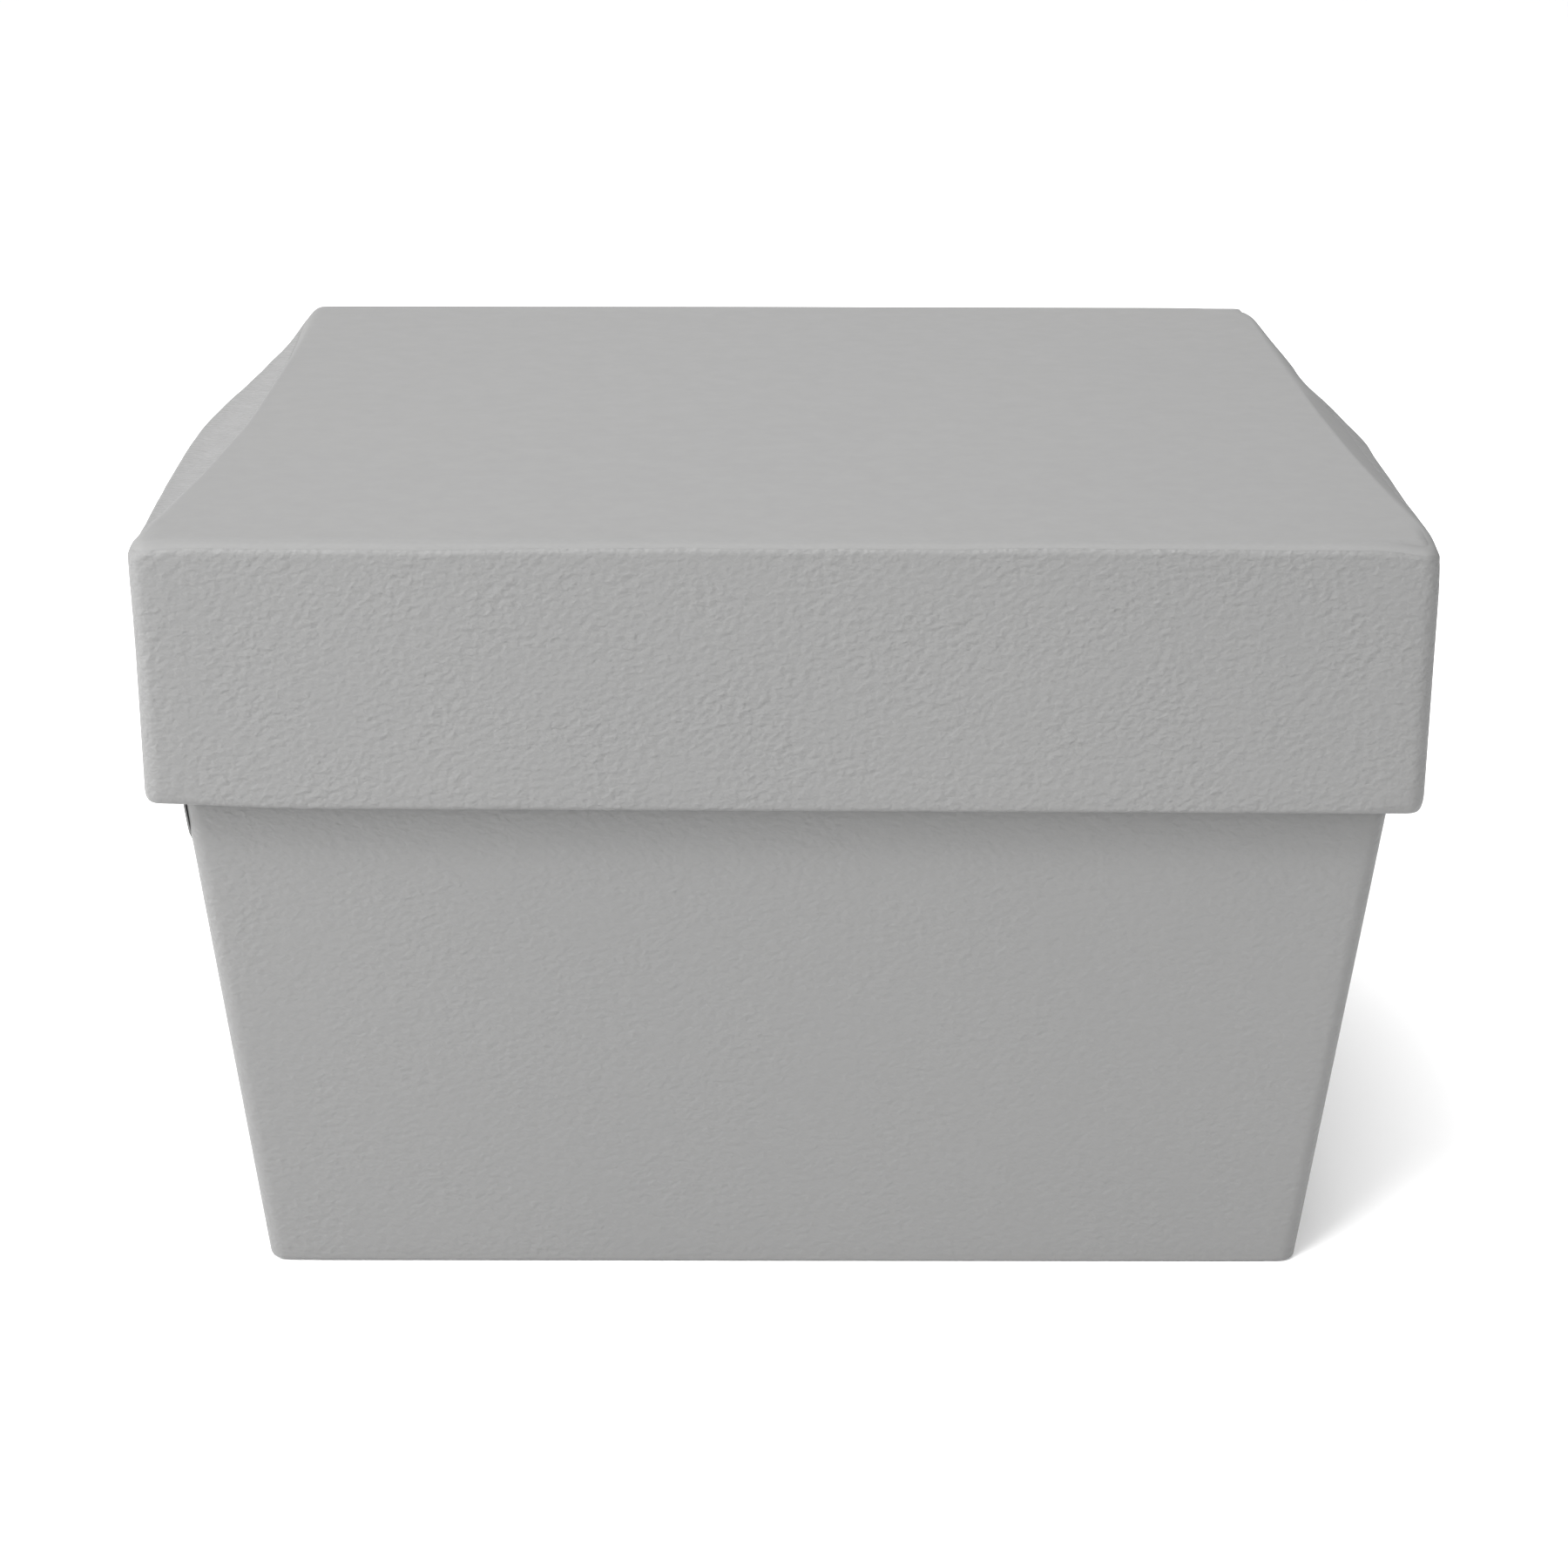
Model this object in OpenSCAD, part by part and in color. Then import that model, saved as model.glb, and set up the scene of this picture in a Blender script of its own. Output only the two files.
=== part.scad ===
// Archival storage box: a tapered board tray with a deep lift-off lid.
// Both halves are rigid board boxes covered in grained book cloth paper
// and lined with smooth paper. The lid telescopes over the tray's mouth.
// +Z is up, the front is -Y, and the origin is the middle of the resting face.

/* [Box] */
// Width of the lid, outside, at its corners
lid_w = 330; // [250:1:420]
// Depth of the lid, outside, front to back
lid_d = 338; // [250:1:420]
// Height of the closed box
box_h = 211.5; // [160:0.5:300]
// Depth of the lid's skirt
skirt_h = 71.3; // [50:0.1:100]

/* [Tray taper] */
// How far the tray's foot stands in from the lid's outer face
foot_set = 22.3; // [14:0.1:30]
// The same at the lid's lower edge
mouth_set = 7.9; // [6:0.1:10]
// The same at the tray's rim, inside the lid
rim_set = 3.3; // [3.2:0.1:5]
// How far the tray's walls lean to the right where the lid ends
lean = 0.6; // [0:0.1:1]

/* [Board and paper] */
// Thickness of the board
board_t = 1.6; // [1.2:0.1:2]
// Thickness of the grained cover
cover_t = 0.5; // [0.3:0.1:0.6]
// Thickness of the corner stays, which is also the gap they leave under the cover
stay_t = 0.3; // [0.2:0.1:0.4]
// Thickness of the inside lining
lining_t = 0.3; // [0.2:0.1:0.4]
// Thickness of the sheet under the foot
sheet_t = 0.4; // [0.3:0.1:0.6]
// Width of the cover's turn-in over each free edge
turn_in = 14; // [8:1:20]
// Length of each leg of a corner stay along the front and the back
stay_leg = 20; // [12:1:30]

/* [Edges] */
// Radius of the upright edges
corner_r = 5; // [4.5:0.1:8]
// Radius of the lid's top edges
top_r = 3; // [2:0.1:3.5]
// Radius of the tray's bottom edges
foot_r = 2.2; // [1.5:0.1:3]
// Sides of the arc at each upright edge, an even number
arc_n = 6; // [4:2:10]

/* [Bowed sides] */
// How far the left crease of the lid's top curves in
crease_left = 5.3; // [0:0.1:6]
// How far the right crease curves in
crease_right = 3.8; // [0:0.1:6]
// How far the lid's left side swells out under its crease
swell_left = 9; // [0:0.1:12]
// How far the right side swells out
swell_right = 3.5; // [0:0.1:12]
// How far the left shoulder lies below the crease, beyond the edge radius
drop_left = 4; // [0:0.1:8]
// The same for the right shoulder
drop_right = 2.5; // [0:0.1:8]
// Where along the side the bow is deepest, as a fraction from -1 (front) to 1 (back)
bow_at = -0.14; // [-0.4:0.01:0.4]

/* [Motion] */
// How far the lid is lifted off the tray, for a look inside
lift = 0; // [0:5:200]

/* [Hidden] */

// Layer depths, measured in from the outer face
d_board = cover_t + stay_t;
d_inner = d_board + board_t;
d_lined = d_inner + lining_t;
d_turn = d_inner + cover_t;
// Glue line between the board's inner face and what is pasted on it
d_glue = d_inner + 0.12;

// Stations along the two bowed sides, as fractions of their straight length
SF = [-0.878, -0.72, -0.54, -0.36, -0.18, 0, 0.18, 0.36, 0.54, 0.72, 0.878];
n_st = len(SF);
n_arc = arc_n + 1;
n_ring = 4 * n_arc + 2 * n_st;
mid = arc_n / 2;

// First index of each part of a ring: corner arcs and side stations
i_fl = 0;
i_fr = n_arc;
i_rs = 2 * n_arc;
i_br = i_rs + n_st;
i_bl = i_br + n_arc;
i_ls = i_bl + n_arc;

function span(a, b) = [for (i = [a:b]) i % n_ring];

FRONT_MITRED = span(i_fl + mid, i_fr + mid);
RIGHT_MITRED = span(i_fr + mid, i_br + mid);
BACK_MITRED = span(i_br + mid, i_bl + mid);
LEFT_MITRED = span(i_bl + mid, n_ring + mid);
FRONT_WRAP = span(i_fl, i_fr + arc_n);
RIGHT_SIDE = span(i_fr + arc_n, i_br);
BACK_WRAP = span(i_br, i_bl + arc_n);
LEFT_SIDE = span(i_bl + arc_n, n_ring);
ALL_ROUND = span(0, n_ring - 1);

// Bow of a side at a fraction of its length: 1 at its deepest, 0 at both ends
function bow(f) = 1 - pow(abs((f - bow_at) / (f < bow_at ? 1 + bow_at : 1 - bow_at)), 2);

// Sideways shift of a bowed side: an inward bow is a plain arc, an outward one gathers at the middle
function shift(s, f) = s * (s > 0 ? bow(f) : pow(bow(f), 2));

// One closed ring of points round the box. hx, hy: half sizes; r: corner radius;
// sl, sr: inward shift of the left and right side; zl, zr: how far they drop.
// x0: sideways shift of the whole ring.
function ring(hx, hy, r, z, sl, sr, zl, zr, x0 = 0) =
  let (cx = hx - r, cy = hy - r)
  concat(
    [for (i = [0:arc_n]) let (a = 180 + 90 * i / arc_n) [x0 - cx + r * cos(a), -cy + r * sin(a), z]],
    [for (i = [0:arc_n]) let (a = 270 + 90 * i / arc_n) [x0 + cx + r * cos(a), -cy + r * sin(a), z]],
    [for (f = SF) [x0 + hx - shift(sr, f), f * cy, z - zr * bow(f)]],
    [for (i = [0:arc_n]) let (a = 90 * i / arc_n) [x0 + cx + r * cos(a), cy + r * sin(a), z]],
    [for (i = [0:arc_n]) let (a = 90 + 90 * i / arc_n) [x0 - cx + r * cos(a), cy + r * sin(a), z]],
    [for (i = [n_st - 1:-1:0]) let (f = SF[i]) [x0 - hx + shift(sl, f), f * cy, z - zl * bow(f)]]
  );

// ---- Lid levels: [set in, depth below the top, normal in, normal down, bow share, drop share, drop per layer]
h_sh = top_r + 13;
h_mid = 0.62 * skirt_h;
h_low = skirt_h - 1.2;
function arc_level(a, bs, ds, dn) = [top_r * (1 - sin(a)), top_r * (1 - cos(a)), sin(a), cos(a), bs, ds, dn];
L_TOP = arc_level(0, 1, 0, 0);
L_EDGE = arc_level(30, 1, 0, 0);
L_SEAM = arc_level(55, 0.8, 0.2, 0.2);
L_SHOULDER = arc_level(90, -1, 1, 0.6);
function skirt_share(h) = lookup(h, [[top_r, -1], [h_sh, -1], [h_mid, -0.6], [h_low, -0.25], [skirt_h, -0.25]]);
function skirt_level(h) = [0, h, 1, 0, skirt_share(h), lookup(h, [[h_sh, 0.4], [h_mid, 0]]), 0];

function lid_ring(l, d) =
  let (s = l[0] + d * l[2], h = l[1] + d * l[3],
       sl = l[4] > 0 ? l[4] * crease_left : l[4] * swell_left,
       sr = l[4] > 0 ? l[4] * crease_right : l[4] * swell_right)
  ring(lid_w / 2 - s, lid_d / 2 - s, max(corner_r - s, 0.4), box_h - h,
       sl, sr, l[5] * drop_left + l[6] * d, l[5] * drop_right + l[6] * d);

// ---- Tray levels
z_mouth = box_h - skirt_h;
z_kink = z_mouth + 5;
z_rim = box_h - d_lined - 0.3;
z_top = z_rim - d_board;
z_foot = sheet_t + foot_r;
z_floor = z_foot + 0.2;
z_turn = z_top - turn_in;
taper = (foot_set - mouth_set) / z_mouth;
function tray_set(z) = z < z_kink ? foot_set - taper * z
  : foot_set - taper * z_kink + (z - z_kink) / (z_top - z_kink) * (rim_set - foot_set + taper * z_kink);
function tray_share(z) = lookup(z, [[z_floor, 0], [z_kink, 0.25], [z_top, 1], [z_rim, 1]]);

function tray_ring(z, d, extra = 0) =
  let (s = tray_set(min(z, z_top)) + d + extra)
  ring(lid_w / 2 - s, lid_d / 2 - s, max(corner_r - d - extra, 0.4), z,
       tray_share(z) * (crease_left + 1), tray_share(z) * (crease_right + 1), 0, 0,
       lean * lookup(z, [[z_floor, 0], [z_kink, 1], [z_top, 0.4], [z_rim, 0.4]]));

// A level on the rolled bottom edge, at angle a from straight down
function foot_ring(a, d) =
  let (e = foot_r * (1 - sin(a)) + d * sin(a), s = tray_set(z_foot) + e)
  ring(lid_w / 2 - s, lid_d / 2 - s, max(corner_r - e, 0.4), z_foot - foot_r * cos(a) + d * cos(a), 0, 0, 0, 0);

function pick(rings, idx) = [for (r = rings) [for (i = idx) r[i]]];

// A closed shell between an outer and an inner net of points, given as rows of equal length
module skin(o, i, closed = false) {
  nr = len(o);
  nc = len(o[0]);
  m = nr * nc;
  pts = concat([for (r = o) for (p = r) p], [for (r = i) for (p = r) p]);
  last = closed ? nc - 1 : nc - 2;
  function q(a, b, c, d) = [[a, c, b], [a, d, c]];
  faces = concat(
    [for (r = [0:nr - 2]) for (c = [0:last]) let (n = (c + 1) % nc)
      each q(r * nc + c, r * nc + n, (r + 1) * nc + n, (r + 1) * nc + c)],
    [for (r = [0:nr - 2]) for (c = [0:last]) let (n = (c + 1) % nc)
      each q(m + r * nc + c, m + (r + 1) * nc + c, m + (r + 1) * nc + n, m + r * nc + n)],
    [for (c = [0:last]) let (n = (c + 1) % nc) each q(c, m + c, m + n, n)],
    [for (c = [0:last]) let (n = (c + 1) % nc)
      each q((nr - 1) * nc + c, (nr - 1) * nc + n, m + (nr - 1) * nc + n, m + (nr - 1) * nc + c)],
    closed ? [] : [for (r = [0:nr - 2]) each q(r * nc, (r + 1) * nc, m + (r + 1) * nc, m + r * nc)],
    closed ? [] : [for (r = [0:nr - 2]) let (e = nc - 1)
      each q(r * nc + e, m + r * nc + e, m + (r + 1) * nc + e, (r + 1) * nc + e)]
  );
  polyhedron(points = pts, faces = faces);
}

// A solid stacked from rings, lowest first, closed by flat ends about two middle points
module stack(rings) {
  nr = len(rings);
  nc = len(rings[0]);
  lo = nr * nc;
  faces = concat(
    [for (c = [0:nc - 1]) let (n = (c + 1) % nc) [lo, c, n]],
    [for (r = [0:nr - 2]) for (c = [0:nc - 1]) let (n = (c + 1) % nc)
      each [[r * nc + c, (r + 1) * nc + c, (r + 1) * nc + n], [r * nc + c, (r + 1) * nc + n, r * nc + n]]],
    [for (c = [0:nc - 1]) let (n = (c + 1) % nc) [lo + 1, (nr - 1) * nc + n, (nr - 1) * nc + c]]
  );
  polyhedron(points = concat([for (r = rings) for (p = r) p], [[0, 0, rings[0][0][2]], [0, 0, rings[nr - 1][0][2]]]), faces = faces);
}

// ---- Tray pieces
wall_z = [z_floor, z_kink, z_turn, z_top];
module tray_board(idx) color([0.66, 0.6, 0.52])
  skin(pick([for (z = wall_z) tray_ring(z, d_board)], idx), pick([for (z = wall_z) tray_ring(z, d_inner)], idx));

// Cover of a stretch of wall: under the foot, up the outside, over the rim and down inside
cover_out = [foot_ring(0, 0), foot_ring(45, 0), tray_ring(z_foot, 0), tray_ring(z_floor, 0), tray_ring(z_kink, 0),
  tray_ring(z_turn, 0), tray_ring(z_top, 0), tray_ring(z_rim, 0, 0.6), tray_ring(z_rim, d_turn - 0.6), tray_ring(z_top, d_turn), tray_ring(z_turn, d_turn)];
cover_in = [foot_ring(0, cover_t), foot_ring(45, cover_t), tray_ring(z_foot, cover_t), tray_ring(z_floor, cover_t), tray_ring(z_kink, cover_t),
  tray_ring(z_turn, cover_t), tray_ring(z_top, cover_t), tray_ring(z_rim - cover_t, cover_t + 0.1), tray_ring(z_rim - cover_t, d_inner - 0.1),
  tray_ring(z_top, d_glue), tray_ring(z_turn, d_glue)];
under_out = [for (z = [0]) ring(lid_w / 2 - foot_set - foot_r - turn_in, lid_d / 2 - foot_set - foot_r - turn_in, 0.4, sheet_t, 0, 0, 0, 0)];
under_in = [for (z = [0]) ring(lid_w / 2 - foot_set - foot_r - turn_in, lid_d / 2 - foot_set - foot_r - turn_in, 0.4, sheet_t + cover_t, 0, 0, 0, 0)];
module tray_cover(idx) color([0.7, 0.7, 0.695])
  skin(pick(concat(under_out, cover_out), idx), pick(concat(under_in, cover_in), idx));

module tray_base_board() color([0.66, 0.6, 0.52])
  stack([foot_ring(0, d_board), foot_ring(45, d_board), tray_ring(z_foot, d_board), tray_ring(z_floor, d_board)]);
module tray_front_board() tray_board(FRONT_MITRED);
module tray_back_board() tray_board(BACK_MITRED);
module tray_left_board() tray_board(LEFT_MITRED);
module tray_right_board() tray_board(RIGHT_MITRED);
module tray_front_cover() tray_cover(FRONT_WRAP);
module tray_back_cover() tray_cover(BACK_WRAP);
module tray_left_cover() tray_cover(LEFT_SIDE);
module tray_right_cover() tray_cover(RIGHT_SIDE);

module tray_base_sheet() color([0.62, 0.62, 0.61])
  stack([for (z = [0, sheet_t]) ring(lid_w / 2 - foot_set - foot_r - 0.4, lid_d / 2 - foot_set - foot_r - 0.4, 2.4, z, 0, 0, 0, 0)]);

module tray_wall_lining() color([0.9, 0.88, 0.83])
  skin([for (z = [z_floor + lining_t, z_kink, z_turn - 0.2]) tray_ring(z, d_glue)],
       [for (z = [z_floor + lining_t, z_kink, z_turn - 0.2]) tray_ring(z, d_lined)], true);

module tray_base_lining() color([0.9, 0.88, 0.83])
  stack([for (z = [z_floor, z_floor + lining_t]) tray_ring(z, d_inner + 0.05)]);

// A folded paper strip round one corner: two legs and the arc between them.
// rows: rings at their levels; side: index of the leg's station; dir: 1 where the side leg comes first
module stay(outer, inner, first, side, dir, leg_x) {
  function row(r) = let (a = [for (k = [0:arc_n]) r[first + k]],
    end = dir > 0 ? a[arc_n] + [leg_x, 0, 0] : a[0] + [leg_x, 0, 0])
    dir > 0 ? concat([r[side]], a, [end]) : concat([end], a, [r[side]]);
  skin([for (r = outer) row(r)], [for (r = inner) row(r)]);
}
module stays(outer, inner) {
  stay(outer, inner, i_fl, n_ring - 1, 1, stay_leg);
  stay(outer, inner, i_fr, i_rs, -1, -stay_leg);
  stay(outer, inner, i_br, i_rs + n_st - 1, 1, -stay_leg);
  stay(outer, inner, i_bl, i_ls, -1, stay_leg);
}
module tray_corner_stays() color([0.82, 0.77, 0.68])
  stays([for (z = wall_z) tray_ring(z, cover_t)], [for (z = wall_z) tray_ring(z, d_board)]);

// ---- Lid pieces
h_turn = skirt_h - 1.2 - turn_in;
wall_l = [L_SEAM, L_SHOULDER, skirt_level(h_sh), skirt_level(h_mid), skirt_level(h_turn), skirt_level(h_low)];
module lid_wall(idx) color([0.66, 0.6, 0.52])
  skin(pick([for (l = wall_l) lid_ring(l, d_inner)], idx), pick([for (l = wall_l) lid_ring(l, d_board)], idx));
module lid_front_board() lid_wall(FRONT_MITRED);
module lid_back_board() lid_wall(BACK_MITRED);
module lid_left_board() lid_wall(LEFT_MITRED);
module lid_right_board() lid_wall(RIGHT_MITRED);

module lid_top_board() color([0.66, 0.6, 0.52])
  stack([lid_ring(L_TOP, d_inner), lid_ring(L_SEAM, d_board), lid_ring(L_EDGE, d_board), lid_ring(L_TOP, d_board)]);

L_END = arc_level(53, 0.84, 0.16, 0.2);
module lid_top_cover() color([0.72, 0.72, 0.715])
  stack([lid_ring(L_TOP, cover_t), lid_ring(L_EDGE, cover_t), lid_ring(L_END, cover_t),
    lid_ring(L_END, 0), lid_ring(L_EDGE, 0), lid_ring(L_TOP, 0)]);

skirt_out = [lid_ring(L_SEAM, 0), lid_ring(L_SHOULDER, 0), lid_ring(skirt_level(h_sh), 0), lid_ring(skirt_level(h_mid), 0),
  lid_ring(skirt_level(h_turn), 0), lid_ring(skirt_level(h_low), 0), lid_ring(skirt_level(skirt_h), 0.6), lid_ring(skirt_level(skirt_h), d_turn - 0.6),
  lid_ring(skirt_level(h_low), d_turn), lid_ring(skirt_level(h_turn), d_turn)];
skirt_in = [lid_ring(L_SEAM, cover_t), lid_ring(L_SHOULDER, cover_t), lid_ring(skirt_level(h_sh), cover_t), lid_ring(skirt_level(h_mid), cover_t),
  lid_ring(skirt_level(h_turn), cover_t), lid_ring(skirt_level(h_low), cover_t), lid_ring(skirt_level(skirt_h - cover_t), cover_t + 0.1),
  lid_ring(skirt_level(skirt_h - cover_t), d_inner - 0.1), lid_ring(skirt_level(h_low), d_glue), lid_ring(skirt_level(h_turn), d_glue)];
module lid_skirt_cover() color([0.68, 0.68, 0.675]) skin(skirt_in, skirt_out, true);

module lid_corner_stays() color([0.82, 0.77, 0.68])
  stays([for (l = wall_l) if (l != L_SEAM) lid_ring(l, d_board)], [for (l = wall_l) if (l != L_SEAM) lid_ring(l, cover_t)]);

module lid_top_lining() color([0.9, 0.88, 0.83])
  stack([lid_ring(L_TOP, d_lined), lid_ring(L_TOP, d_inner)]);

lining_l = [L_SEAM, L_SHOULDER, skirt_level(h_sh), skirt_level(h_mid), skirt_level(h_turn - 0.2)];
module lid_skirt_lining() color([0.9, 0.88, 0.83])
  skin([for (l = lining_l) lid_ring(l, d_lined)], [for (l = lining_l) lid_ring(l, d_glue)], true);

tray_base_board();
tray_front_board();
tray_back_board();
tray_left_board();
tray_right_board();
tray_corner_stays();
tray_front_cover();
tray_back_cover();
tray_left_cover();
tray_right_cover();
tray_base_sheet();
tray_wall_lining();
tray_base_lining();
translate([0, 0, lift]) lid_top_board();
translate([0, 0, lift]) lid_front_board();
translate([0, 0, lift]) lid_back_board();
translate([0, 0, lift]) lid_left_board();
translate([0, 0, lift]) lid_right_board();
translate([0, 0, lift]) lid_corner_stays();
translate([0, 0, lift]) lid_top_cover();
translate([0, 0, lift]) lid_skirt_cover();
translate([0, 0, lift]) lid_top_lining();
translate([0, 0, lift]) lid_skirt_lining();
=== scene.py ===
import bpy
import math
from mathutils import Vector, Matrix


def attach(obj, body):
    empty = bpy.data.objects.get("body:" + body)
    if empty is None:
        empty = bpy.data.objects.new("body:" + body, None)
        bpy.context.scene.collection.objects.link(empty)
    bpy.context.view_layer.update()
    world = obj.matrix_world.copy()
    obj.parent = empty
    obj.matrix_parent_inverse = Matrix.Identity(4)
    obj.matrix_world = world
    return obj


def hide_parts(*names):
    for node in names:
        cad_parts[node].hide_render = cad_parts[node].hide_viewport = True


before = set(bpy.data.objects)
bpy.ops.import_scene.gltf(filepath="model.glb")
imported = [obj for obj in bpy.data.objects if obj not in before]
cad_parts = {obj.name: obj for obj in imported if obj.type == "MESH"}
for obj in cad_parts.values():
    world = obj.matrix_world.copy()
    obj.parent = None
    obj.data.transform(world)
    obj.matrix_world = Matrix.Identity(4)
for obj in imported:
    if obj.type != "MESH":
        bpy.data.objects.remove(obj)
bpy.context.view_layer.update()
MM = 0.001

# ---------------------------------------------------------------- sizes, in mm, as the frame has them
W, D, H = 330.0, 338.0, 211.5
A, B = W / 2, D / 2
SKIRT = 71.3
R = 5.0
FOOT, MOUTH, RIM = 22.3, 7.9, 3.3
BOARD, COVER, STAY, LINING, SHEET = 1.6, 0.5, 0.3, 0.3, 0.4
D_BOARD = COVER + STAY
D_INNER = D_BOARD + BOARD
D_LINED = D_INNER + LINING
D_TURN = D_INNER + COVER
Z_MOUTH = H - SKIRT
Z_KINK = Z_MOUTH + 5
Z_RIM = H - D_LINED - 0.3
Z_TOP = Z_RIM - D_BOARD
Z_FLOOR = SHEET + 2.2 + 0.2
TAPER = (FOOT - MOUTH) / Z_MOUTH


def lerp_table(t, x):
    if x <= t[0][0]:
        return t[0][1]
    for (x0, y0), (x1, y1) in zip(t, t[1:]):
        if x <= x1:
            return y0 + (y1 - y0) * (x - x0) / (x1 - x0)
    return t[-1][1]


def smooth_table(t, x):
    """Monotone-ish cubic through listed points."""
    n = len(t)
    if x <= t[0][0]:
        return t[0][1]
    if x >= t[-1][0]:
        return t[-1][1]
    for i in range(n - 1):
        if x <= t[i + 1][0]:
            break
    x0, y0 = t[i]
    x1, y1 = t[i + 1]
    h = x1 - x0

    def slope(k):
        if k == 0 or k == n - 1:
            return 0.0
        a = (t[k][1] - t[k - 1][1]) / (t[k][0] - t[k - 1][0])
        b = (t[k + 1][1] - t[k][1]) / (t[k + 1][0] - t[k][0])
        if a * b <= 0:
            return 0.0
        return 2 * a * b / (a + b)

    s = (x - x0) / h
    m0, m1 = slope(i) * h, slope(i + 1) * h
    return (2 * s**3 - 3 * s**2 + 1) * y0 + (s**3 - 2 * s**2 + s) * m0 + (-2 * s**3 + 3 * s**2) * y1 + (s**3 - s**2) * m1


def sstep(a, b, x):
    if a == b:
        return 0.0 if x < a else 1.0
    t = min(1.0, max(0.0, (x - a) / (b - a)))
    return t * t * (3 - 2 * t)


# ---------------------------------------------------------------- stations round the box
N_ARC, N_SIDE, N_FRONT = 8, 72, 60


def stations():
    """Ring of stations, anticlockwise from the front left corner. Each is (kind, t):
    corner arcs hold an angle, sides hold a fraction from -1 to 1 of their straight length."""
    s = []
    s += [("fl", 180 + 90 * i / N_ARC) for i in range(N_ARC + 1)]
    s += [("f", -1 + 2 * i / N_FRONT) for i in range(1, N_FRONT)]
    s += [("fr", 270 + 90 * i / N_ARC) for i in range(N_ARC + 1)]
    s += [("r", -1 + 2 * i / N_SIDE) for i in range(1, N_SIDE)]
    s += [("br", 90 * i / N_ARC) for i in range(N_ARC + 1)]
    s += [("b", 1 - 2 * i / N_FRONT) for i in range(1, N_FRONT)]
    s += [("bl", 90 + 90 * i / N_ARC) for i in range(N_ARC + 1)]
    s += [("l", 1 - 2 * i / N_SIDE) for i in range(1, N_SIDE)]
    return s


ST = stations()
I_FL, I_FR = 0, N_ARC + N_FRONT
I_BR = I_FR + N_ARC + N_SIDE
I_BL = I_BR + N_ARC + N_FRONT
NS = len(ST)


def place(st, hx, hy, r, d):
    """Point of the ring with half sizes hx, hy and corner radius r, moved in by d."""
    k, t = st
    cx, cy = hx - r, hy - r
    rr = max(r - d, 0.25)
    if k in ("fl", "fr", "br", "bl"):
        a = math.radians(t)
        sx = -1 if k in ("fl", "bl") else 1
        sy = -1 if k in ("fl", "fr") else 1
        return sx * cx + rr * math.cos(a), sy * cy + rr * math.sin(a)
    if k == "f":
        return t * cx, -(hy - d)
    if k == "b":
        return t * cx, hy - d
    if k == "r":
        return hx - d, t * cy
    return -(hx - d), t * cy


# ---------------------------------------------------------------- lid shape
YS = B - R
OUT_L = [(-164, 0.0), (-156, 0.7), (-148, 1.0), (-140, 1.8), (-132, 2.5), (-123, 3.4), (-114, 4.1), (-105, 4.8), (-96, 5.3), (-87, 5.9), (-77, 6.4),
         (-67, 6.9), (-56, 7.4), (-45, 7.9), (-34, 8.3), (-23, 8.5), (-12, 8.7), (0, 8.5), (12, 8.0), (24, 7.5), (36, 6.8),
         (48, 5.8), (60, 5.2), (74, 4.2), (90, 3.5), (106, 2.3), (122, 1.5), (138, 1.2), (152, 0.9), (164, 0.0)]
OUT_R = [(-164, 0.0), (-156, 0.2), (-148, 0.3), (-140, 0.5), (-132, 0.9), (-123, 1.5), (-114, 1.9), (-105, 2.6), (-96, 3.5), (-87, 4.2), (-77, 5.2),
         (-67, 6.1), (-56, 6.8), (-45, 7.4), (-34, 8.1), (-23, 9.1), (-12, 9.9), (0, 9.2), (12, 7.2), (24, 4.5), (36, 1.9),
         (48, 0.6), (60, 0.4), (74, 0.9), (90, 0.8), (106, 0.5), (122, 0.3), (138, 0.2), (152, 0.1), (164, 0.0)]
IN_L = [(-164, 0), (-155, 0.1), (-138, 1.2), (-118, 2.0), (-99, 3.0), (-77, 3.7), (-51, 4.4), (-30, 5.0), (-14, 4.9), (10, 4.35),
        (44, 3.8), (80, 3.1), (115, 2.2), (140, 1.1), (156, 0.3), (164, 0)]
IN_R = [(-164, 0), (-149, 0.1), (-124, 0.9), (-91, 1.8), (-54, 2.5), (-17, 2.6), (23, 2.2), (74, 1.6), (112, 1.0), (145, 0.3), (164, 0)]
FACET_L = [(-164, 0), (-150, 0.25), (-125, 0.7), (-95, 0.95), (-50, 1), (0, 1), (50, 0.9), (90, 0.7), (125, 0.35), (150, 0.08), (164, 0)]
FACET_R = [(-164, 0), (-150, 0.25), (-125, 0.7), (-95, 0.95), (-50, 1), (8, 1), (28, 0.75), (60, 0.55), (100, 0.35), (140, 0.1), (164, 0)]
DROP_L, DROP_R = -0.3, -1.2
WALL_L, WALL_R = 5.0, 6.2
SLOPE_R = 0.60


def top_radius(st):
    k, t = st
    if k in ("f", "b"):
        return 3.1 + 1.0 * sstep(0.0, -0.75, t)
    if k in ("fl", "bl"):
        return 4.1
    if k in ("fr", "br"):
        return 3.1
    if k == "l":
        return 4.1
    return 3.1


N_ROUND = 12
SEAM = 8
SKIRT_H = [7.0, 10.0, 14.0, 20.0, 30.0, 42.0, 52.0, 60.0, 65.0]


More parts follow.
